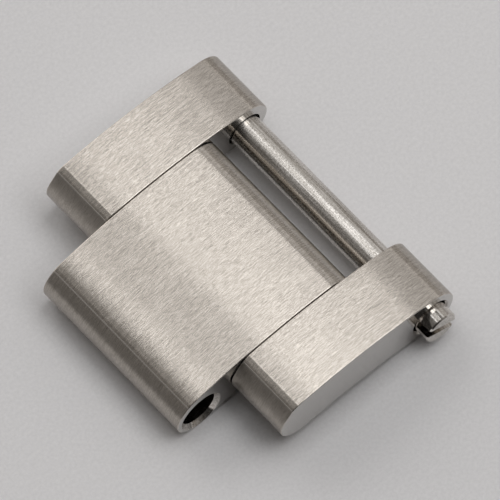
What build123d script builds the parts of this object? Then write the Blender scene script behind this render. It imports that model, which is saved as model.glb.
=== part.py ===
# Bracelet link for a wristwatch: two outer bars, a centre bar between them, the fixed pin
# that joins the three, and the slotted screw pin that holds the next link.
# Lengths are in millimetres. +Z is up, +X runs along the bracelet towards the screw pin and
# +Y runs across it, away from the screw's head.
# The origin is the middle of the centre bar's free bore, where the neighbour's screw pin goes.
# All three bars are slices of one ring around the wrist, so their tops lie on one circle.
from build123d import *
from math import asin, cos, degrees, radians, sin
import os

# Bars: the tops lie on the wrist circle, and bars of neighbouring links end a small gap apart
wrist_radius = 24.5
bar_thickness = 2.75
bar_length = 10.40
bar_gap = 0.45
outer_width = 3.36
centre_width = 9.20
side_gap = 0.04
outer_facet_depth = 0.07
outer_facet_tilt = 42.0
centre_facet_depth = 0.02
centre_facet_tilt = 27.0
edge_break = 0.06

# Pin axes: how far they lie below the tops and inside the bars' ends
pin_depth = 1.50
end_reach = 1.36

# Fixed pin, pressed into blind holes of the outer bars and free to turn in the centre bar
fixed_pin_radius = 0.80
fixed_pin_grip = 2.20
pin_hole_spare = 0.15
pin_end_chamfer = 0.10
pivot_clearance = 0.03

# Screw pin: slotted head, plain shank and threaded tip
shank_radius = 0.82
head_lip = 0.05
head_length = 1.50
head_chamfer = 0.07
slot_width = 0.40
slot_depth = 0.75
slot_turn = -26.0
thread_radius = 0.70
thread_core_radius = 0.54
thread_pitch = 0.30
thread_crest = 0.05
thread_root = 0.25
thread_sink = 0.03
thread_length = 1.70
tip_chamfer = 0.12
backed_out = 0.75

# Holes that take the screw pin
neck_clearance = 0.03
head_clearance = 0.09
head_mouth = 0.10
entry_clearance = 0.11
entry_depth = 0.90
thread_clearance = 0.02
tip_room = 0.15

# Free bore of the centre bar, sized for a neighbour's shank
bore_clearance = 0.13
bore_mouth = 0.20

# One overrun serves all cuts that leave a face
overrun = 0.50

# Places that follow from the sizes
pin_step = (bar_length + bar_gap) / 2
pin_circle = wrist_radius - pin_depth
middle_radius = wrist_radius - bar_thickness / 2
end_radius = bar_thickness / 2
pin_angle = degrees(2 * asin(pin_step / 2 / pin_circle))
end_shift = degrees((end_reach - end_radius) / middle_radius)
bar_angle = degrees(2 * asin((bar_length / 2 - end_radius) / middle_radius))
wrist_x = pin_circle * sin(radians(pin_angle))
wrist_z = -pin_circle * cos(radians(pin_angle))
ear_face = centre_width / 2 + side_gap
outer_face = ear_face + outer_width
head_radius = shank_radius + head_lip
seat_radius = head_radius + head_clearance
entry_radius = shank_radius + entry_clearance
free_bore_radius = shank_radius + bore_clearance


def across(y):
    """Plane that faces -Y at the given y, centred on the wrist."""
    return Plane(origin=(wrist_x, y, wrist_z), x_dir=(1, 0, 0), z_dir=(0, -1, 0))


def around(y, angle):
    """Plane that faces -Y at the given y, centred on a pin axis at an angle from the top."""
    x = wrist_x + pin_circle * sin(radians(angle))
    z = wrist_z + pin_circle * cos(radians(angle))
    return Plane(origin=(x, y, z), x_dir=(1, 0, 0), z_dir=(0, -1, 0))


def bar_outline(left, right):
    """Side outline of a bar whose round ends are centred at two angles from the top."""
    with BuildSketch() as outline:
        SlotArc(CenterArc((0, 0), middle_radius, 90 - right, right - left, mode=Mode.PRIVATE), bar_thickness)
    return outline.sketch


def facet_outline(left, depth, tilt):
    """What the polished facet takes off a bar's -X end, tilted from the end of the bar's top."""
    end_centre = Location((middle_radius * sin(radians(left)), middle_radius * cos(radians(left))))
    tilted = end_centre * Location((0, 0), tilt - left)
    with BuildSketch() as outline:
        with Locations(tilted * Location((0, end_radius - depth))):
            Rectangle(bar_thickness, end_radius, align=(Align.CENTER, Align.MIN))
    return outline.sketch


outer_right = pin_angle + end_shift
outer_left = outer_right - bar_angle
outer_outline = bar_outline(outer_left, outer_right)
outer_facet = facet_outline(outer_left, outer_facet_depth, outer_facet_tilt)
centre_outline = bar_outline(-outer_right, -outer_left)
centre_facet = facet_outline(-outer_right, centre_facet_depth, centre_facet_tilt)

os.makedirs("parts", exist_ok=True)

# Centre bar: free bore with countersunk mouths, and a running bore for the fixed pin
with BuildPart() as centre_link:
    with BuildSketch(across(centre_width / 2)):
        add(centre_outline)
    extrude(amount=centre_width)
    chamfer(centre_link.faces().filter_by(Axis.Y).edges(), edge_break)
    with BuildSketch(across(centre_width / 2)):
        add(centre_facet)
    extrude(amount=centre_width, mode=Mode.SUBTRACT)
    with BuildSketch(around(centre_width / 2, 0)):
        Circle(fixed_pin_radius + pivot_clearance)
    extrude(amount=centre_width, mode=Mode.SUBTRACT)
    with BuildSketch(around(centre_width / 2, -pin_angle)):
        Circle(free_bore_radius)
    extrude(amount=centre_width, mode=Mode.SUBTRACT)
    mouths = centre_link.edges().filter_by(GeomType.CIRCLE)
    mouths = mouths.filter_by(lambda edge: abs(edge.radius - free_bore_radius) < edge_break)
    chamfer(mouths, bore_mouth)
centre_link.part.label = "centre_link"
export_step(centre_link.part, "parts/centre_link.step")

# Far outer bar: blind hole for the fixed pin, and the screw's entry and thread hole
with BuildPart() as outer_link_far:
    with BuildSketch(across(outer_face)):
        add(outer_outline)
    extrude(amount=outer_width)
    chamfer(outer_link_far.faces().filter_by(Axis.Y).edges(), edge_break)
    with BuildSketch(across(outer_face)):
        add(outer_facet)
    extrude(amount=outer_width, mode=Mode.SUBTRACT)
    with BuildSketch(around(ear_face, 0)):
        Circle(fixed_pin_radius)
    extrude(amount=-(fixed_pin_grip + pin_hole_spare), mode=Mode.SUBTRACT)
    with BuildSketch(around(ear_face, pin_angle)):
        Circle(entry_radius)
    extrude(amount=-entry_depth, mode=Mode.SUBTRACT)
    with BuildSketch(around(ear_face, pin_angle)):
        Circle(thread_radius + thread_clearance)
    extrude(amount=-(entry_depth + thread_length + tip_room), mode=Mode.SUBTRACT)
outer_link_far.part.label = "outer_link_far"
export_step(outer_link_far.part, "parts/outer_link_far.step")

# Near outer bar: blind hole for the fixed pin, and the screw's neck hole and counterbore
with BuildPart() as outer_link_near:
    with BuildSketch(across(-ear_face)):
        add(outer_outline)
    extrude(amount=outer_width)
    chamfer(outer_link_near.faces().filter_by(Axis.Y).edges(), edge_break)
    with BuildSketch(across(-ear_face)):
        add(outer_facet)
    extrude(amount=outer_width, mode=Mode.SUBTRACT)
    with BuildSketch(around(-ear_face, 0)):
        Circle(fixed_pin_radius)
    extrude(amount=fixed_pin_grip + pin_hole_spare, mode=Mode.SUBTRACT)
    with BuildSketch(around(-ear_face, pin_angle)):
        Circle(shank_radius + neck_clearance)
    extrude(amount=outer_width, mode=Mode.SUBTRACT)
    with BuildSketch(around(-outer_face, pin_angle)):
        Circle(seat_radius)
    extrude(amount=-head_length, mode=Mode.SUBTRACT)
    seat_rims = outer_link_near.edges().filter_by(GeomType.CIRCLE)
    seat_rims = seat_rims.filter_by(lambda edge: abs(edge.radius - seat_radius) < edge_break)
    chamfer(seat_rims.sort_by(Axis.Y)[0], head_mouth)
outer_link_near.part.label = "outer_link_near"
export_step(outer_link_near.part, "parts/outer_link_near.step")

# Fixed pin, hidden inside the bars
with BuildPart() as fixed_pin:
    pin_end = ear_face + fixed_pin_grip
    with BuildSketch(around(pin_end, 0)):
        Circle(fixed_pin_radius)
    extrude(amount=2 * pin_end)
    chamfer(fixed_pin.edges().filter_by(GeomType.CIRCLE), pin_end_chamfer)
fixed_pin.part.label = "fixed_pin"
export_step(fixed_pin.part, "parts/fixed_pin.step")

# Screw pin: driven home, its shoulder meets the end of the entry and its head is flush.
# It is drawn backed out, as it was found.
with BuildPart() as screw_pin:
    shoulder_y = ear_face + entry_depth - backed_out
    head_y = -outer_face - backed_out
    with BuildSketch(around(head_y, pin_angle)):
        Circle(head_radius)
    extrude(amount=-head_length)
    with BuildSketch(around(head_y, pin_angle)):
        Circle(shank_radius)
    extrude(amount=head_y - shoulder_y)
    with BuildSketch(around(shoulder_y, pin_angle)):
        Circle(thread_core_radius)
    extrude(amount=-thread_length)
    chamfer(screw_pin.faces().sort_by(Axis.Y)[-1].edges(), tip_chamfer)
    # One right-hand ridge wound round the core, sunk a little into it
    ridge_foot = around(shoulder_y, pin_angle).origin + Vector(0, thread_pitch, 0)
    with BuildLine() as winding:
        Helix(thread_pitch, thread_length - 2 * thread_pitch, thread_core_radius - thread_sink,
              center=ridge_foot, direction=(0, 1, 0))
    ridge_start = winding.line @ 0
    with BuildSketch(Plane(ridge_start, x_dir=ridge_start - ridge_foot, z_dir=winding.line % 0)):
        with BuildLine():
            crest = thread_radius - thread_core_radius + thread_sink
            Polyline((0, -thread_root / 2), (crest, -thread_crest / 2), (crest, thread_crest / 2),
                     (0, thread_root / 2), close=True)
        make_face()
    sweep(path=winding.line, is_frenet=True)
    chamfer(screw_pin.faces().sort_by(Axis.Y)[0].edges(), head_chamfer)
    with BuildSketch(around(head_y, pin_angle)):
        Rectangle(2 * head_radius + overrun, slot_width, rotation=slot_turn)
    extrude(amount=-slot_depth, mode=Mode.SUBTRACT)
screw_pin.part.label = "screw_pin"
export_step(screw_pin.part, "parts/screw_pin.step")
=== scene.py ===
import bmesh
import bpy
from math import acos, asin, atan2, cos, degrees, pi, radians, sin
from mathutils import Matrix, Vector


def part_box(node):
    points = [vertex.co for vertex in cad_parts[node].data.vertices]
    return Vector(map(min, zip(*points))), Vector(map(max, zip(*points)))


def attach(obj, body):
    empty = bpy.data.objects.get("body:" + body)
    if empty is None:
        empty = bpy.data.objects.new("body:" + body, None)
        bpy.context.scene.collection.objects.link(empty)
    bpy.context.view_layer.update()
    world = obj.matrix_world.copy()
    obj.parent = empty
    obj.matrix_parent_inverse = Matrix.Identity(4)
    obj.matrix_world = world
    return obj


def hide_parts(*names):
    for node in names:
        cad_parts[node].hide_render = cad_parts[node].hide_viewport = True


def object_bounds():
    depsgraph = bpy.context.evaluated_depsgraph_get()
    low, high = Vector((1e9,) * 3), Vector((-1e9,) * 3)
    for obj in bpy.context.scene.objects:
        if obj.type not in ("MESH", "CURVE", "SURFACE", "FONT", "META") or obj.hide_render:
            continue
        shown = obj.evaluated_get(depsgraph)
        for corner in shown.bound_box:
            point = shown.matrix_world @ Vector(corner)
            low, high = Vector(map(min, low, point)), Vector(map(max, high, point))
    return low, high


# %% [markdown]
# # A bracelet link in steel
# The object is one loose link of a wristwatch bracelet: two outer bars, a centre bar that
# turns between them on a hidden pin, and a slotted screw that holds the next link.
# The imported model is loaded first. Every piece below is drawn where that model has it.

# %% Load the fixed frame
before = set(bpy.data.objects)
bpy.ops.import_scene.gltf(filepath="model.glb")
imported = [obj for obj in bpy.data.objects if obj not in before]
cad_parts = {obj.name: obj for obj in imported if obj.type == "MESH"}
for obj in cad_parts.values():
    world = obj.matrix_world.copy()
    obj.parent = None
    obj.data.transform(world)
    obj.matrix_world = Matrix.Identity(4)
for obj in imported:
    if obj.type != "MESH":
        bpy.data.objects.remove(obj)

cad_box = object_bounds()
print("frame box in mm:", [[round(1000 * v, 2) for v in corner] for corner in cad_box])

# %% [markdown]
# ## Places along the pins
# All lengths here are in millimetres, which suits a part this small: bevels and cuts of a few
# hundredths then stay far from the limits of Blender's numbers. Each finished mesh is shrunk
# to metres once, at its end. Where the faces lie across the bracelet, along Y, is read from
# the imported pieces, so the pieces drawn here can't drift away from them.

# %% Faces along Y
MM = 0.001


def span(name):
    """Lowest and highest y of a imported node, in millimetres."""
    low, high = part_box(name)
    return low[1] / MM, high[1] / MM


near_low, near_high = span("outer_link_near")
outer_face = -near_low
ear_face = -near_high
centre_face = span("centre_link")[1]
head_y, tip_y = span("screw_pin")
screw_low, screw_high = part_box("screw_pin")
head_radius = (screw_high[0] - screw_low[0]) / MM / 2
print("outer bars from", round(ear_face, 3), "to", round(outer_face, 3))
print("centre bar to", round(centre_face, 3), "and screw head radius", round(head_radius, 3))

# %% [markdown]
# ## One ring for all bars
# The tops of the three bars lie on one circle round the wrist, and the pins on a smaller
# circle inside it. So each bar is a slice of one ring, and two angles say where it lies.

# %% Angles and pin places
wrist_radius = 24.5
bar_thickness = 2.75
bar_length = 10.40
bar_gap = 0.45
pin_depth = 1.50
end_reach = 1.36
middle_radius = wrist_radius - bar_thickness / 2
end_radius = bar_thickness / 2
pin_circle = wrist_radius - pin_depth
pin_angle = 2 * asin((bar_length + bar_gap) / 4 / pin_circle)
outer_last = pin_angle + (end_reach - end_radius) / middle_radius
outer_first = outer_last - 2 * asin((bar_length / 2 - end_radius) / middle_radius)
wrist_x = pin_circle * sin(pin_angle)
wrist_z = -pin_circle * cos(pin_angle)
screw_x = 2 * wrist_x
print("pins every", round(degrees(pin_angle), 2), "degrees, screw at x", round(screw_x, 3))

# %% [markdown]
# ## A helper for nodes
# Materials and Geometry Nodes trees are both made of nodes. One small function adds a node
# with its settings and feeds its inputs, so that each tree reads as a list of steps. An input
# takes a plain value, one output of another node, or a whole node, whose first output in use
# then feeds it.

# %% Helpers that feed and add a node


def feed(tree, target, inputs):
    """Fills inputs of a node. They are named or numbered."""
    for key, value in inputs.items():
        if isinstance(value, bpy.types.Node):
            value = next(output for output in value.outputs if output.enabled)
        if isinstance(value, bpy.types.NodeSocket):
            tree.links.new(value, target.inputs[key])
        else:
            target.inputs[key].default_value = value


def node(tree, kind, inputs=None, **settings):
    """Adds a node with these settings and inputs."""
    new = tree.nodes.new(kind)
    for name, value in settings.items():
        setattr(new, name, value)
    feed(tree, new, inputs or {})
    return new


def linear(hex_colour):
    """An sRGB hex colour as the linear colour that Blender's sockets hold."""
    shares = [int(hex_colour[i:i + 2], 16) / 255 for i in (1, 3, 5)]
    return [s / 12.92 if s <= 0.04045 else ((s + 0.055) / 1.055) ** 2.4 for s in shares] + [1.0]


# %% [markdown]
# ## Brushed stainless steel
# The bars are solid stainless steel, ground to shape and then brushed along the bracelet with
# a fine abrasive belt. The belt leaves scratches a few hundredths of a millimetre wide and a
# few tenths to two millimetres long. They blur reflections sideways and break them up into
# light and dark lines. A pixel of the main view is 0.045 mm wide, so the scratches are drawn
# about half as wide as that, coarser than the finest real ones.
#
# The flat side faces were ground and not brushed, so they are smoother and greyer, and their
# colour is also painted lighter, as painted light. The rims between them and the top have been
# rubbed bright by wear, and a painted highlight runs along the crease of each facet. The round
# ends were finished on a wheel, which leaves them duller, and their colour is darkened as
# painted shade. One material does all four, because the way that the surface faces says which
# of them it is.

# %% Sizes of the marks on the brushed bars, in metres
scratch_width = 0.00002
scratch_length = 0.00035
streak_width = 0.00006
streak_length = 0.002
grit_size = 0.00004
cloud_size = 0.0025
# Width of the painted highlight line along each crease, full and then fading.
glint_line_core = 0.000018
glint_line_edge = 0.000045
scratch_relief = 0.000008

# %% [markdown]
# ## Where the facets begin
# Each bar has a small flat facet polished onto its -X end. Its upper edge is a crisp crease,
# and the material paints a bright line along it as a painted highlight. The material needs to
# know where the two creases lie, and that follows from how deep the facet is cut and how far it
# is tilted from the end of the top.

# %% Creases of the facets
outer_facet = {"depth": 0.07, "tilt": radians(42)}
centre_facet = {"depth": 0.02, "tilt": radians(27)}


def crease(first_angle, facet):
    """Where a facet's upper edge crosses the XZ plane, in metres."""
    half_angle = acos(1 - facet["depth"] / end_radius)
    lean = facet["tilt"] - half_angle - first_angle
    x = wrist_x + middle_radius * sin(first_angle) - end_radius * sin(lean)
    z = wrist_z + middle_radius * cos(first_angle) + end_radius * cos(lean)
    return x * MM, 0.0, z * MM


creases = [crease(outer_first, outer_facet), crease(-outer_last, centre_facet)]
print("facet creases at", [[round(1000 * v, 3) for v in place] for place in creases])

# %% [markdown]
# ## The material of the bars
# The steps below go from masks to colour, to roughness, to relief. A mask is a number from 0
# to 1 that says how much a place is side, rim or end. The shares and ranges started from
# usual values for brushed steel and were then matched to the photograph, render by render.

# %% Shares and ranges for the brushed bars
side_from = 0.90
side_full = 0.98
rim_from = 0.12
rim_full = 0.45
ends_from = 0.45
ends_full = 0.80
streak_share = 0.2
grit_share = 0.35
side_grain_share = 0.35
grain_middle = 0.5
grain_dark = 0.41
grain_light = 0.59
cloud_share = 0.12
rim_wear_share = 0.12
# Share of painted shade that darkens the round ends.
end_shade_share = 0.4
# Share of the side colour: greyer ground steel, also painted lighter as painted light.
ground_tint_and_light_share = 0.8
roughness_low = 0.18
roughness_high = 0.25
roughness_by_wear = -0.04
roughness_by_grinding = -0.11
roughness_by_wheel = 0.15
ends_anisotropy = 0.5
tangent_tilt = 0.1

# %% Material for the brushed bars


def brushed_steel(name):
    """Stainless steel: belt scratches along X, ground sides painted lighter, dull ends with painted
    shade, worn rims, a painted highlight at each crease.
    """
    steel = bpy.data.materials.new(name)
    steel.use_nodes = True
    tree = steel.node_tree
    surface = tree.nodes["Principled BSDF"]
    surface.inputs["Metallic"].default_value = 1.0
    coordinate = node(tree, "ShaderNodeTexCoord").outputs
    place = node(tree, "ShaderNodeSeparateXYZ", {"Vector": coordinate["Object"]}).outputs
    facing = node(tree, "ShaderNodeSeparateXYZ", {"Vector": coordinate["Normal"]}).outputs

    # Which way the surface faces tells the flat sides, the rims and the ends from the rest.
    sideways = node(tree, "ShaderNodeMath", {0: facing["Y"]}, operation="ABSOLUTE")
    endways = node(tree, "ShaderNodeMath", {0: facing["X"]}, operation="ABSOLUTE")
    side = node(tree, "ShaderNodeMapRange", {
        "Value": sideways, "From Min": side_from, "From Max": side_full})
    off_top = node(tree, "ShaderNodeMapRange", {
        "Value": sideways, "From Min": rim_from, "From Max": rim_full})
    rim = node(tree, "ShaderNodeMath", {0: off_top, 1: side}, operation="SUBTRACT")
    ends = node(tree, "ShaderNodeMapRange", {
        "Value": endways, "From Min": ends_from, "From Max": ends_full})

    # A painted highlight line follows the upper edge of each facet, but not on the flat sides.
    flat_place = node(tree, "ShaderNodeCombineXYZ", {"X": place["X"], "Z": place["Z"]})
    glint_lines = 0.0
    for spot in creases:
        away = node(tree, "ShaderNodeVectorMath", {0: flat_place, 1: spot}, operation="DISTANCE")
        line = node(tree, "ShaderNodeMapRange", {
            "Value": away, "From Min": glint_line_core, "From Max": glint_line_edge,
            "To Min": 1.0, "To Max": 0.0})
        glint_lines = node(tree, "ShaderNodeMath", {0: glint_lines, 1: line}, operation="MAXIMUM")
    off_side = node(tree, "ShaderNodeMath", {0: 1.0, 1: side}, operation="SUBTRACT")
    crease_glint = node(tree, "ShaderNodeMath", {0: glint_lines, 1: off_side}, operation="MULTIPLY")

    # The belt wraps round the ends, so the scratches are long in X and in Z and thin in Y.
    noises = {}
    for pattern, length, width, detail, roughness in (
            ("fine", scratch_length, scratch_width, 2.0, 0.6),
            ("streaks", streak_length, streak_width, 2.0, 0.55),
            ("grit", grit_size, grit_size, 2.0, 0.6),
            ("clouds", cloud_size, cloud_size, 1.0, 0.55)):
        scaled = node(tree, "ShaderNodeMapping", {
            "Vector": coordinate["Object"], "Scale": (1 / length, 1 / width, 1 / length)})
        noises[pattern] = node(tree, "ShaderNodeTexNoise", {
            "Vector": scaled, "Scale": 1.0, "Detail": detail, "Roughness": roughness})
    scratches = node(tree, "ShaderNodeMix", {
        "Factor": streak_share, "A": noises["fine"], "B": noises["streaks"]})
    grain = node(tree, "ShaderNodeMix", {"Factor": grit_share, "A": scratches, "B": noises["grit"]})
    quiet = node(tree, "ShaderNodeMapRange", {
        "Value": side, "To Min": 1.0, "To Max": side_grain_share})
    lift = node(tree, "ShaderNodeMix", {"Factor": quiet, "A": grain_middle, "B": grain})
    shade = node(tree, "ShaderNodeMapRange", {
        "Value": lift, "From Min": grain_dark, "From Max": grain_light})

    # The brushed colour comes first. The clouds, the rims' wear with the painted crease highlight,
    # the ends' painted shade and the sides' greyer colour with its painted light are then laid over
    # it by their shares.
    clouded = node(tree, "ShaderNodeMapRange", {
        "Value": noises["clouds"], "From Min": 0.35, "From Max": 0.65, "To Max": cloud_share})
    # One pale colour: real wear on the rims, and a painted highlight line along each facet's
    # crease.
    rim_wear = node(tree, "ShaderNodeMath", {0: rim, 1: rim_wear_share}, operation="MULTIPLY")
    rim_wear_and_glint = node(tree, "ShaderNodeMath", {0: rim_wear, 1: crease_glint}, operation="MAXIMUM")
    # The round ends are darkened: painted shade.
    ends_painted_shade = node(tree, "ShaderNodeMath", {0: ends, 1: end_shade_share}, operation="MULTIPLY")
    # The ground sides get a greyer colour that is also lighter: painted light.
    ground_tint_and_light = node(tree, "ShaderNodeMath", {0: side, 1: ground_tint_and_light_share}, operation="MULTIPLY")
    colour = node(tree, "ShaderNodeMix", {
        "Factor": shade, "A": linear("#A59E95"), "B": linear("#DDD6CE")}, data_type="RGBA")
    for share, hex_colour in (
            (clouded, "#A8A29B"), (rim_wear_and_glint, "#F4EFE9"), (ends_painted_shade, "#8A857E"), (ground_tint_and_light, "#CBCAC8")):
        colour = node(tree, "ShaderNodeMix", {
            "Factor": share, "A": colour, "B": linear(hex_colour)}, data_type="RGBA")

    # Wear and grinding make the steel smoother, and the wheel makes it rougher.
    gloss = node(tree, "ShaderNodeMapRange", {
        "Value": noises["streaks"], "From Min": 0.3, "From Max": 0.7,
        "To Min": roughness_low, "To Max": roughness_high})
    for share, change in (
            (rim, roughness_by_wear), (side, roughness_by_grinding), (ends, roughness_by_wheel)):
        gloss = node(tree, "ShaderNodeMath", {
            0: share, 1: change, 2: gloss}, operation="MULTIPLY_ADD")

    # Scratches blur a reflection across themselves. The wheel blurs it in every direction. The
    # tangent leans a little, because on the side faces plain Y would be the way they face.
    stretch = node(tree, "ShaderNodeMapRange", {
        "Value": ends, "To Min": 1.0, "To Max": ends_anisotropy})
    across = node(tree, "ShaderNodeCombineXYZ", {"Y": 1.0, "Z": tangent_tilt})
    height = node(tree, "ShaderNodeMath", {0: scratches, 1: quiet}, operation="MULTIPLY")
    relief = node(tree, "ShaderNodeBump", {
        "Height": height, "Strength": 0.06, "Distance": scratch_relief})
    feed(tree, surface, {
        "Base Color": colour, "Roughness": gloss, "Anisotropic": stretch, "Tangent": across,
        "Normal": relief})
    return steel


bar_steel = brushed_steel("brushed_stainless_steel")
print("brushed steel has", len(bar_steel.node_tree.nodes), "nodes")

# %% [markdown]
# ## Turned stainless steel
# Screw, pin and bores were cut on a lathe. The screw's shank was then polished lengthwise and
# has slid through bores since, so fine streaks run along it, between bright rubbed spots.
# Rings left by the lathe still spread its highlight along the pin. The head and its seat were
# polished and the free bore was reamed, so they are smoother. The polish ends at a place along
# Y, and the reaming at a place along X. The marks are drawn coarser than real ones, to show.

# %% Sizes of the marks on the turned pins, in metres
rub_width = 0.00007
rub_length = 0.0035
spot_size = 0.00008
polished_from = -0.0064
reamed_to = 0.0030
polish_fade = 0.0008
rub_relief = 0.000005

# %% Material for the turned pins
spot_share = 0.35
polish_share = 0.42


def turned_steel(name):
    """Turned stainless steel: smoother than the bars, with streaks along the pin."""
    steel = bpy.data.materials.new(name)
    steel.use_nodes = True
    tree = steel.node_tree
    surface = tree.nodes["Principled BSDF"]
    surface.inputs["Metallic"].default_value = 1.0
    surface.inputs["Anisotropic"].default_value = 0.75
    where = node(tree, "ShaderNodeTexCoord").outputs["Object"]
    place = node(tree, "ShaderNodeSeparateXYZ", {"Vector": where}).outputs

    noises = {}
    for pattern, width, length in (
            ("rubs", rub_width, rub_length), ("spots", spot_size, spot_size)):
        scaled = node(tree, "ShaderNodeMapping", {
            "Vector": where, "Scale": (1 / width, 1 / length, 1 / width)})
        noises[pattern] = node(tree, "ShaderNodeTexNoise", {
            "Vector": scaled, "Scale": 1.0, "Detail": 2.0, "Roughness": 0.6})
    both = node(tree, "ShaderNodeMix", {
        "Factor": spot_share, "A": noises["rubs"], "B": noises["spots"]})
    shade = node(tree, "ShaderNodeMapRange", {"Value": both, "From Min": 0.36, "From Max": 0.64})
    tone = node(tree, "ShaderNodeMix", {
        "Factor": shade, "A": linear("#A8A29A"), "B": linear("#ECE8E3")}, data_type="RGBA")

    # Less of the roughness and of the relief is kept where the steel was polished or reamed.
    kept = 1.0
    for axis, edge in (("Y", polished_from), ("X", reamed_to)):
        share = node(tree, "ShaderNodeMapRange", {
            "Value": place[axis], "From Min": edge - polish_fade, "From Max": edge,
            "To Min": polish_share, "To Max": 1.0})
        kept = node(tree, "ShaderNodeMath", {0: kept, 1: share}, operation="MINIMUM")
    gloss = node(tree, "ShaderNodeMapRange", {
        "Value": noises["spots"], "From Min": 0.35, "From Max": 0.65,
        "To Min": 0.20, "To Max": 0.30})
    shine = node(tree, "ShaderNodeMath", {0: gloss, 1: kept}, operation="MULTIPLY")
    height = node(tree, "ShaderNodeMath", {0: both, 1: kept}, operation="MULTIPLY")
    relief = node(tree, "ShaderNodeBump", {
        "Height": height, "Strength": 0.2, "Distance": rub_relief})
    along_pin = node(tree, "ShaderNodeCombineXYZ", {"Y": 1.0, "Z": tangent_tilt})
    feed(tree, surface, {
        "Base Color": tone, "Roughness": shine, "Normal": relief, "Tangent": along_pin})
    return steel


pin_steel = turned_steel("turned_stainless_steel")
print("turned steel has", len(pin_steel.node_tree.nodes), "nodes")

# %% [markdown]
# ## The bars, by Geometry Nodes
# A bar's side outline follows a rule: an arc of the ring with round ends, and a small flat
# facet polished onto the -X end. The facet starts at a crisp crease and ends softly, because
# the polisher rolls the bar off the wheel. The tree draws five arcs and one Bezier curve for
# the facet, joins and fills them, and pushes the shape out to the bar's width. It puts the
# bar's first end at the top of the ring, and the bar is turned to its own place later. One
# tree with named inputs then serves all three bars.

# %% How finely a bar is drawn
ring_points = 97
end_points = 49
foot_points = 33
top_points = 9
facet_points = 24
join_distance = 0.0005

# %% The tree that makes a bar


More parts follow.
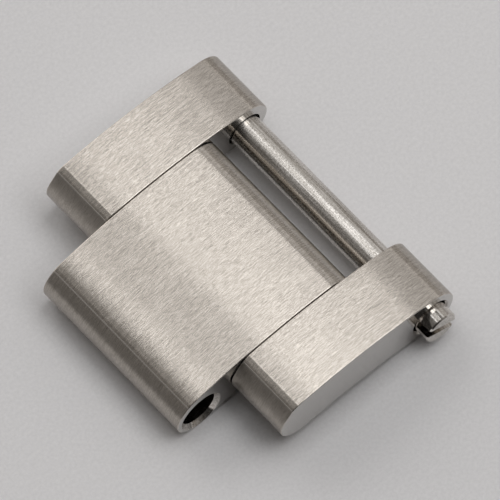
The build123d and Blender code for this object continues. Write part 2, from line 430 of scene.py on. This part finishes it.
def bar_tree():
    """Geometry Nodes tree: from radii, angles and a width to a bar with a facet."""
    tree = bpy.data.node_groups.new("bar", "GeometryNodeTree")
    for name in ("Ring radius", "End radius", "Bar angle", "Width",
                 "Facet top angle", "Bend angle", "Bend radius", "Facet foot angle"):
        tree.interface.new_socket(name, in_out="INPUT", socket_type="NodeSocketFloat")
    tree.interface.new_socket("Steel", in_out="INPUT", socket_type="NodeSocketMaterial")
    tree.interface.new_socket("Geometry", in_out="OUTPUT", socket_type="NodeSocketGeometry")
    size = node(tree, "NodeGroupInput").outputs

    # The first end is drawn on the X axis, and the bar runs clockwise from there.
    outside = node(tree, "ShaderNodeMath", {0: size["Ring radius"], 1: size["End radius"]})
    inside = node(tree, "ShaderNodeMath", {
        0: size["Ring radius"], 1: size["End radius"]}, operation="SUBTRACT")
    last_angle = node(tree, "ShaderNodeMath", {0: 0.0, 1: size["Bar angle"]}, operation="SUBTRACT")
    foot_sweep = node(tree, "ShaderNodeMath", {
        0: size["Facet foot angle"], 1: pi}, operation="SUBTRACT")
    top_sweep = node(tree, "ShaderNodeMath", {
        0: 0.0, 1: size["Facet top angle"]}, operation="SUBTRACT")
    arcs = {}
    for name, radius, start, sweep, points in (
            ("outside", outside, 0.0, last_angle, ring_points),
            ("last end", size["End radius"], last_angle, -pi, end_points),
            ("inside", inside, last_angle, size["Bar angle"], ring_points),
            ("foot", size["End radius"], pi, foot_sweep, foot_points),
            ("top", size["End radius"], size["Facet top angle"], top_sweep, top_points)):
        arcs[name] = node(tree, "GeometryNodeCurveArc", {
            "Resolution": points, "Radius": radius, "Start Angle": start, "Sweep Angle": sweep},
            mode="RADIUS")

    # The facet's curve runs between two points of the end arc and bends towards a third.
    spots = []
    for radius, angle in (
            ("End radius", "Facet foot angle"), ("Bend radius", "Bend angle"),
            ("End radius", "Facet top angle")):
        reach = node(tree, "ShaderNodeCombineXYZ", {"X": size[radius]})
        spots.append(node(tree, "ShaderNodeVectorRotate", {
            "Vector": reach, "Angle": size[angle]}, rotation_type="Z_AXIS"))
    facet = node(tree, "GeometryNodeCurveQuadraticBezier", {
        "Resolution": facet_points, "Start": spots[0], "Middle": spots[1], "End": spots[2]})

    # Both ends are moved out to the ring, and the curves are joined to one closed outline.
    first_place = node(tree, "ShaderNodeCombineXYZ", {"X": size["Ring radius"]})
    last_place = node(tree, "ShaderNodeVectorRotate", {
        "Vector": first_place, "Angle": last_angle}, rotation_type="Z_AXIS")
    first_curves = node(tree, "GeometryNodeJoinGeometry")
    for curve in (arcs["foot"], facet, arcs["top"]):
        feed(tree, first_curves, {"Geometry": curve})
    first_end = node(tree, "GeometryNodeTransform", {
        "Geometry": first_curves, "Translation": first_place})
    last_end = node(tree, "GeometryNodeTransform", {
        "Geometry": arcs["last end"], "Translation": last_place})
    outline = node(tree, "GeometryNodeJoinGeometry")
    for curve in (arcs["outside"], last_end, arcs["inside"], first_end):
        feed(tree, outline, {"Geometry": curve})
    wire = node(tree, "GeometryNodeCurveToMesh", {"Curve": outline})
    welded = node(tree, "GeometryNodeMergeByDistance", {
        "Geometry": wire, "Distance": join_distance})
    loop = node(tree, "GeometryNodeMeshToCurve", {"Mesh": welded})
    closed = node(tree, "GeometryNodeSetSplineCyclic", {"Geometry": loop, "Cyclic": True})

    # The filled outline is pushed out to the width, and a copy of it closes the bar.
    side = node(tree, "GeometryNodeFillCurve", {"Curve": closed}, mode="NGONS")
    push = node(tree, "ShaderNodeCombineXYZ", {"Z": size["Width"]})
    pushed = node(tree, "GeometryNodeExtrudeMesh", {
        "Mesh": side, "Offset": push, "Offset Scale": 1.0, "Individual": False}, mode="FACES")
    lid = node(tree, "GeometryNodeFlipFaces", {"Mesh": side})
    shell = node(tree, "GeometryNodeJoinGeometry")
    for skin in (pushed, lid):
        feed(tree, shell, {"Geometry": skin})
    solid = node(tree, "GeometryNodeMergeByDistance", {
        "Geometry": shell, "Distance": join_distance})
    upright = node(tree, "GeometryNodeTransform", {
        "Geometry": solid, "Rotation": (pi / 2, -pi / 2, 0)})
    real = node(tree, "GeometryNodeRealizeInstances", {"Geometry": upright})
    finished = node(tree, "GeometryNodeSetMaterial", {"Geometry": real, "Material": size["Steel"]})
    node(tree, "NodeGroupOutput", {"Geometry": finished})
    return tree


bar_maker = bar_tree()
print("bar tree has", len(bar_maker.nodes), "nodes")

# %% [markdown]
# ## From a tree to a mesh
# A Geometry Nodes tree runs as a modifier on an empty mesh. Here its result is kept as a plain
# mesh, because the rounded rims and the cuts come after it. Before a piece is shaded, points
# that lie on each other are merged and its faces are turned outwards.

# %% Helpers that run a tree and clean a mesh


def settled(thing):
    """Applies an object's modifiers by swapping in the evaluated mesh."""
    bpy.context.view_layer.update()
    seen = thing.evaluated_get(bpy.context.evaluated_depsgraph_get())
    thing.data = bpy.data.meshes.new_from_object(seen)
    thing.modifiers.clear()
    return thing


def from_tree(name, tree, values):
    """A new object whose mesh is the tree's result for these inputs, in millimetres."""
    holder = bpy.data.objects.new(name, bpy.data.meshes.new(name))
    bpy.context.collection.objects.link(holder)
    maker = holder.modifiers.new("maker", "NODES")
    maker.node_group = tree
    for socket in tree.interface.items_tree:
        if socket.in_out == "INPUT" and socket.name in values:
            maker[socket.identifier] = values[socket.name]
    return settled(holder)


def tidied(thing, weld=0.0002):
    """Merges points that lie closer than the weld, in millimetres, and turns faces outwards."""
    work = bmesh.new()
    work.from_mesh(thing.data)
    bmesh.ops.remove_doubles(work, verts=work.verts, dist=weld)
    bmesh.ops.recalc_face_normals(work, faces=work.faces)
    work.to_mesh(thing.data)
    work.free()
    return thing


# %% [markdown]
# ## The three blank bars
# Each bar is a slice of thick steel with narrow rounded rims. The tree makes the slice, a
# Bevel modifier rounds its rims, and the bar is turned about the wrist to where it belongs.
# The facet's curve bends where two tangents meet: the flat itself, and the end's round at the
# foot, some degrees further on, where the polish fades out.

# %% Blank bars with rounded rims
facet_foot_blend = radians(16)
edge_round = 0.055


def blank_bar(name, first, last, y_high, width, facet):
    """A bar with rounded rims and no holes yet, between two angles on the ring."""
    half_angle = acos(1 - facet["depth"] / end_radius)
    turn = half_angle + facet_foot_blend
    flat_away = end_radius - facet["depth"]
    flat_along = (end_radius - flat_away * cos(turn)) / sin(turn)
    bar = from_tree(name, bar_maker, {
        "Ring radius": middle_radius, "End radius": end_radius, "Bar angle": last - first,
        "Width": width, "Facet top angle": facet["tilt"] - half_angle,
        "Bend angle": facet["tilt"] + atan2(flat_along, flat_away),
        "Bend radius": (flat_away ** 2 + flat_along ** 2) ** 0.5,
        "Facet foot angle": facet["tilt"] + turn, "Steel": bar_steel})
    bar.data.transform(
        Matrix.Translation((wrist_x, y_high, wrist_z)) @ Matrix.Rotation(first, 4, "Y"))
    tidied(bar)
    rim = bar.modifiers.new("rim", "BEVEL")
    rim.width = edge_round
    rim.segments = 6
    rim.limit_method = "ANGLE"
    rim.angle_limit = radians(60)
    return settled(bar)


outer_width = outer_face - ear_face
centre = blank_bar(
    "centre_bar", -outer_last, -outer_first, centre_face, 2 * centre_face, centre_facet)
far = blank_bar("far_outer_bar", outer_first, outer_last, outer_face, outer_width, outer_facet)
near = blank_bar("near_outer_bar", outer_first, outer_last, -ear_face, outer_width, outer_facet)
for bar in (centre, far, near):
    print(bar.name, "has", len(bar.data.polygons), "faces before it is drilled")

# %% [markdown]
# ## Turned shapes
# Pins, bores and countersinks are all round, so one function spins a line of (y, radius)
# points about a pin's axis. The same shape is a pin when it is kept and a hole when a Boolean
# cuts it out. A hole keeps the steel of the tool that cut it, so bores look turned and not
# brushed.

# %% Helpers that turn a profile and cut it out


def turned(name, profile, x, z, steel, steps=96):
    """A closed solid of revolution about the line through (x, z) along Y."""
    work = bmesh.new()
    rings = []
    turns = [2 * pi * k / steps for k in range(steps)]
    for y, radius in profile:
        if radius == 0:
            rings.append([work.verts.new((x, y, z))])
            continue
        rings.append([work.verts.new((x + radius * cos(t), y, z + radius * sin(t))) for t in turns])
    for here, there in zip(rings, rings[1:]):
        for k in range(steps):
            corners = [here[k % len(here)], here[(k + 1) % len(here)],
                       there[(k + 1) % len(there)], there[k % len(there)]]
            unique = list(dict.fromkeys(corners))
            if len(unique) > 2:
                work.faces.new(unique)
    bmesh.ops.recalc_face_normals(work, faces=work.faces)
    mesh = bpy.data.meshes.new(name)
    mesh.materials.append(steel)
    work.to_mesh(mesh)
    work.free()
    thing = bpy.data.objects.new(name, mesh)
    bpy.context.collection.objects.link(thing)
    return thing


def cut(thing, cutters, operation="DIFFERENCE"):
    """Cuts other objects out of a piece, or welds them on, and then throws them away."""
    for cutter in cutters:
        hole = thing.modifiers.new(cutter.name, "BOOLEAN")
        hole.operation = operation
        hole.solver = "EXACT"
        hole.material_mode = "TRANSFER"
        hole.object = cutter
    settled(thing)
    for cutter in cutters:
        bpy.data.objects.remove(cutter)
    return thing


# %% [markdown]
# ## Holes in the bars
# The centre bar has one bore right through it, countersunk at both mouths, for the next
# link's screw. The far bar has a blind hole for the screw's tip: a wide entry and a narrower
# thread hole. The near bar has a counterbore for the head and a neck hole for the shank. The
# seats are a hair deeper than the screw needs, so no two faces share a plane when it is
# driven home. The holes round the fixed pin aren't drawn, because no side shows them: the
# bars are solid there and the pin lies inside them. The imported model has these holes.

# %% Bore of the centre bar
past = 0.5
free_bore_radius = 0.95
bore_mouth = 0.20
through = centre_face + past
mouth_radius = free_bore_radius + bore_mouth
cut(centre, [turned("free_bore", [
    (-through, 0), (-through, mouth_radius), (-centre_face, mouth_radius),
    (-centre_face + bore_mouth, free_bore_radius), (centre_face - bore_mouth, free_bore_radius),
    (centre_face, mouth_radius), (through, mouth_radius), (through, 0)], 0.0, 0.0, pin_steel)])
print("free bore", round(2 * free_bore_radius, 2), "mm across")

# %% Entry and thread hole of the far bar
seat_play = 0.01
entry_radius = 0.93
entry_depth = 0.90
thread_length = 1.70
thread_hole_radius = 0.72
tip_room = 0.15
entry_start = ear_face - past
entry_end = ear_face + entry_depth + seat_play
thread_hole_end = entry_end + thread_length + tip_room
cut(far, [turned("entry", [
    (entry_start, 0), (entry_start, entry_radius), (entry_end, entry_radius),
    (entry_end, thread_hole_radius), (thread_hole_end, thread_hole_radius),
    (thread_hole_end, 0)], screw_x, 0.0, pin_steel)])
print("thread hole ends at y", round(thread_hole_end, 2))

# %% Counterbore and neck hole of the near bar
shank_radius = 0.82
neck_clearance = 0.03
head_length = 1.50
head_clearance = 0.09
head_mouth = 0.10
neck_radius = shank_radius + neck_clearance
seat_radius = head_radius + head_clearance
seat_mouth_radius = seat_radius + head_mouth
seat_y = -outer_face + head_length + seat_play
neck_end = -ear_face + past
cut(near, [turned("counterbore", [
    (-outer_face - past, 0), (-outer_face - past, seat_mouth_radius),
    (-outer_face, seat_mouth_radius), (-outer_face + head_mouth, seat_radius),
    (seat_y, seat_radius), (seat_y, neck_radius), (neck_end, neck_radius),
    (neck_end, 0)], screw_x, 0.0, pin_steel)])
print("screw's seat at y", round(seat_y, 2))

# %% [markdown]
# ## Finishing the bars
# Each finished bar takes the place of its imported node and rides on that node's body, so that
# it moves with the joints. The shading is smooth, but edges that bend more than the given
# angle stay crisp, and large flat faces stay flat.

# %% Helpers that shade and place a piece


def smoothed(thing, sharp_degrees):
    """Smooth shading that keeps real edges crisp and large flat faces flat."""
    thing.data.shade_smooth()
    thing.data.set_sharp_from_angle(angle=radians(sharp_degrees))
    weighted = thing.modifiers.new("weighted", "WEIGHTED_NORMAL")
    weighted.keep_sharp = True
    return settled(thing)


def open_edges(mesh):
    """How many edges don't have exactly two faces."""
    work = bmesh.new()
    work.from_mesh(mesh)
    count = sum(1 for edge in work.edges if len(edge.link_faces) != 2)
    work.free()
    return count


def fitted(thing, body, node_name):
    """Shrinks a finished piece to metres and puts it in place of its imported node."""
    thing.data.transform(Matrix.Scale(MM, 4))
    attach(thing, body)
    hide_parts(node_name)
    triangles = sum(len(face.vertices) - 2 for face in thing.data.polygons)
    print(thing.name, "has", triangles, "triangles and", open_edges(thing.data), "open edges")


# %% Place the bars
bar_sharp_degrees = 16.5
for bar, body, node_name in (
        (centre, "centre_bar", "centre_link"),
        (far, "outer_bars", "outer_link_far"),
        (near, "outer_bars", "outer_link_near")):
    smoothed(tidied(bar), bar_sharp_degrees)
    fitted(bar, body, node_name)

# %% [markdown]
# ## The screw
# The screw is a pin turned from bar: a head with a slot, a long polished shank that the next
# link turns on, and a short thread at the far end. Its body is turned from one profile, and
# the slot is cut with a plain block that is longer than the head is wide.

# %% The screw's body
head_chamfer = 0.07
shank_lip = 0.05
core_radius = 0.54
tip_chamfer = 0.12
shoulder_y = tip_y - thread_length
screw = turned("screw", [
    (head_y, 0), (head_y, head_radius - head_chamfer), (head_y + head_chamfer, head_radius),
    (head_y + head_length, head_radius), (head_y + head_length, shank_radius),
    (shoulder_y - shank_lip, shank_radius), (shoulder_y, shank_radius - shank_lip),
    (shoulder_y, core_radius), (tip_y - tip_chamfer, core_radius),
    (tip_y, core_radius - tip_chamfer), (tip_y, 0)], screw_x, 0.0, pin_steel)
print("screw body from", round(head_y, 2), "to", round(tip_y, 2))

# %% The slot in its head
slot_width = 0.40
slot_depth = 0.75
slot_turn = radians(26)
slot_reach = 3 * head_radius
slot_cutter = bpy.data.objects.new("slot", bpy.data.meshes.new("slot"))
slot_cutter.data.materials.append(pin_steel)
bpy.context.collection.objects.link(slot_cutter)
work = bmesh.new()
bmesh.ops.create_cube(work, size=1.0)
work.to_mesh(slot_cutter.data)
work.free()
slot_cutter.data.transform(
    Matrix.Translation((screw_x, head_y, 0)) @ Matrix.Rotation(slot_turn, 4, "Y")
    @ Matrix.Diagonal((slot_reach, 2 * slot_depth, slot_width, 1)))
cut(screw, [slot_cutter])
print("slot", slot_width, "mm wide and", slot_depth, "mm deep")

# %% [markdown]
# ## The thread, by Geometry Nodes
# A thread is a ridge that follows a helix. The tree draws the helix with a Spiral node and
# sweeps a small four-sided profile along it. The profile is turned so that its narrow side
# points outwards. The ridge is then welded to the screw with a Boolean union.

# %% The tree that winds a thread


def thread_tree():
    """Geometry Nodes tree: a right-hand ridge about Z that starts at the origin."""
    tree = bpy.data.node_groups.new("thread", "GeometryNodeTree")
    for name in ("Middle radius", "Turns", "Rise", "Root width", "Crest width", "Height"):
        tree.interface.new_socket(name, in_out="INPUT", socket_type="NodeSocketFloat")
    tree.interface.new_socket("Steel", in_out="INPUT", socket_type="NodeSocketMaterial")
    tree.interface.new_socket("Geometry", in_out="OUTPUT", socket_type="NodeSocketGeometry")
    size = node(tree, "NodeGroupInput").outputs
    helix = node(tree, "GeometryNodeCurveSpiral", {
        "Resolution": 72, "Rotations": size["Turns"], "Start Radius": size["Middle radius"],
        "End Radius": size["Middle radius"], "Height": size["Rise"]})
    upright = node(tree, "GeometryNodeSetCurveNormal", {"Curve": helix}, mode="Z_UP")
    section = node(tree, "GeometryNodeCurvePrimitiveQuadrilateral", {
        "Bottom Width": size["Root width"], "Top Width": size["Crest width"],
        "Height": size["Height"], "Offset": 0.0}, mode="TRAPEZOID")
    outwards = node(tree, "GeometryNodeTransform", {
        "Geometry": section, "Rotation": (0, 0, pi / 2)})
    ridge = node(tree, "GeometryNodeCurveToMesh", {
        "Curve": upright, "Profile Curve": outwards, "Fill Caps": True})
    real = node(tree, "GeometryNodeRealizeInstances", {"Geometry": ridge})
    finished = node(tree, "GeometryNodeSetMaterial", {"Geometry": real, "Material": size["Steel"]})
    node(tree, "NodeGroupOutput", {"Geometry": finished})
    return tree


thread_maker = thread_tree()
print("thread tree has", len(thread_maker.nodes), "nodes")

# %% The threaded tip
thread_radius = 0.70
thread_pitch = 0.30
thread_root = 0.25
thread_crest = 0.05
thread_sink = 0.03
ridge_rise = thread_length - 2 * thread_pitch
ridge_foot = core_radius - thread_sink
ridge = from_tree("ridge", thread_maker, {
    "Middle radius": (ridge_foot + thread_radius) / 2, "Turns": ridge_rise / thread_pitch,
    "Rise": ridge_rise, "Root width": thread_root, "Crest width": thread_crest,
    "Height": thread_radius - ridge_foot, "Steel": pin_steel})
ridge.data.transform(
    Matrix.Translation((screw_x, shoulder_y + thread_pitch, 0)) @ Matrix.Rotation(-pi / 2, 4, "X"))
tidied(ridge)
cut(screw, [ridge], "UNION")
print("thread of", round(ridge_rise / thread_pitch, 1), "turns")

# %% Place the screw
screw_sharp_degrees = 30
smoothed(tidied(screw), screw_sharp_degrees)
fitted(screw, "screw", "screw_pin")

# %% [markdown]
# ## The hidden pin
# A plain pin joins the three bars. Both its ends are pressed into blind holes, so no side
# shows it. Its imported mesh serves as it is, and only needs the turned steel.

# %% Steel for the hidden pin
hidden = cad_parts["fixed_pin"]
for place in hidden.material_slots:
    place.material = pin_steel
print("fixed pin has", len(hidden.material_slots), "material slot")

# %% [markdown]
# ## The table
# The link lies on a pale, matt surface, a little mottled. The mottle is drawn a sixth of a
# millimetre wide, coarser than the fibres of paper, so that it shows.

# %% A pale table under the link
table_size = 1.2
mottle_size = MM / 6
floor_z = cad_box[0][2]
bpy.ops.mesh.primitive_plane_add(size=table_size, location=(screw_x * MM / 2, 0, floor_z))
table = bpy.context.object
table.name = "table"
paper = bpy.data.materials.new("pale_table")
paper.use_nodes = True
tree = paper.node_tree
surface = tree.nodes["Principled BSDF"]
surface.inputs["Roughness"].default_value = 0.85
where = node(tree, "ShaderNodeTexCoord").outputs["Object"]
mottle = node(tree, "ShaderNodeTexNoise", {
    "Vector": where, "Scale": 1 / mottle_size, "Detail": 4.0, "Roughness": 0.6})
tone = node(tree, "ShaderNodeMix", {
    "Factor": mottle, "A": linear("#D3D2D3"), "B": linear("#ECEBEC")}, data_type="RGBA")
feed(tree, surface, {"Base Color": tone})
table.data.materials.append(paper)
print("table at z", round(floor_z / MM, 3), "mm")

# %% [markdown]
# ## Light
# Metal shows its surroundings more than its own colour. The bars' tops mirror what hangs over
# the table, and their round ends mirror what stands beside it. So the light is a small studio:
# soft boxes half a metre above the table, and a dim room whose walls glow a little behind the
# link and to its right. The left wall stays dark, and that gives the facets their dark bands.
# The strengths are plain: 1 is the brightness of a white sheet that is fully lit.

# %% The room
world = bpy.data.worlds.new("dim_room")
bpy.context.scene.world = world
world.use_nodes = True
tree = world.node_tree
toward = node(tree, "ShaderNodeTexCoord").outputs["Generated"]
glow_height = radians(16)
glow_spread = 6.5
room_glow = 0.025
wall_glows = [
    ("behind", radians(90), 1.5),
    ("right", 0.0, 0.5),
    ("front right", radians(-45), 0.25),
    ("back left", radians(135), 0.2)]
glow = room_glow
for wall, heading, strength in wall_glows:
    middle = (
        cos(heading) * cos(glow_height), sin(heading) * cos(glow_height), sin(glow_height))
    nearness = node(tree, "ShaderNodeVectorMath", {0: toward, 1: middle}, operation="DOT_PRODUCT")
    spread = node(tree, "ShaderNodeMath", {
        0: nearness, 1: glow_spread, 2: -glow_spread}, operation="MULTIPLY_ADD")
    lobe = node(tree, "ShaderNodeMath", {0: spread}, operation="EXPONENT")
    glow = node(tree, "ShaderNodeMath", {0: lobe, 1: strength, 2: glow}, operation="MULTIPLY_ADD")
feed(tree, tree.nodes["Background"], {"Strength": glow, "Color": linear("#FFFAF5")})
print("room glows on", [wall for wall, heading, strength in wall_glows])

# %% The soft boxes
box_height = 0.5


def soft_box(name, x_range, y_range, strength):
    """A glowing level rectangle over the table, with its sides at these x and y."""
    width = x_range[1] - x_range[0]
    depth = y_range[1] - y_range[0]
    lamp = bpy.data.lights.new(name, "AREA")
    lamp.shape = "RECTANGLE"
    lamp.size = width
    lamp.size_y = depth
    lamp.energy = strength * pi * width * depth
    holder = bpy.data.objects.new(name, lamp)
    holder.location = (sum(x_range) / 2, sum(y_range) / 2, box_height)
    bpy.context.collection.objects.link(holder)
    print(name, "gives", round(lamp.energy, 3), "W")


soft_box("overhead_edge", (-0.085, -0.045), (-0.10, 0.15), 2.3)
soft_box("overhead_left", (-0.045, 0.07), (-0.10, 0.15), 1.62)
soft_box("overhead_middle", (0.07, 0.21), (-0.10, 0.15), 2.3)
soft_box("overhead_right", (0.21, 0.38), (-0.10, 0.15), 2.1)
soft_box("front_right", (0.07, 0.38), (-0.40, -0.10), 2.6)
soft_box("back", (-0.085, 0.38), (0.40, 0.80), 1.3)
soft_box("left", (-0.30, -0.085), (-0.10, 0.15), 0.4)
soft_box("right_edge", (0.38, 0.45), (-0.30, 0.50), 0.47)
soft_box("right", (0.45, 1.0), (-0.30, 0.50), 0.35)

# %% [markdown]
# ## The camera
# The camera looks down at the link as the photograph's does. Its angles, its distance and its
# focal length, which is given in pixels of the picture, were fitted to the outlines in the
# photograph. It is placed so that the middle of the hidden pin falls on its own pixel.

# %% Place the camera
azimuth = radians(-40.12)
elevation = radians(64.81)
roll = radians(-1.58)
frame_pixels = 500
focal_pixels = 11526.5
distance = 0.51952
pin_pixel_u = 222.99
pin_pixel_v = 263.72
back = Vector((sin(azimuth) * cos(elevation), -cos(azimuth) * cos(elevation), sin(elevation)))
level = Vector((cos(azimuth), sin(azimuth), 0))
upward = back.cross(level)
right = level * cos(roll) + upward * sin(roll)
up = upward * cos(roll) - level * sin(roll)
hidden_pin = Vector((wrist_x, 0, wrist_z + pin_circle)) * MM
half = frame_pixels / 2
across = (pin_pixel_u - half) * distance / focal_pixels
above = (half - pin_pixel_v) * distance / focal_pixels
eye = hidden_pin + back * distance - right * across - up * above
lens = bpy.data.cameras.new("camera")
lens.sensor_width = 36
lens.lens = lens.sensor_width * focal_pixels / frame_pixels
lens.clip_start = 0.01
camera = bpy.data.objects.new("camera", lens)
camera.matrix_world = Matrix((
    (right.x, up.x, back.x, eye.x),
    (right.y, up.y, back.y, eye.y),
    (right.z, up.z, back.z, eye.z),
    (0, 0, 0, 1)))
bpy.context.collection.objects.link(camera)
bpy.context.scene.camera = camera
bpy.context.scene.view_settings.view_transform = "Standard"
print("camera at", [round(v, 3) for v in eye], "m with a", round(lens.lens), "mm lens")
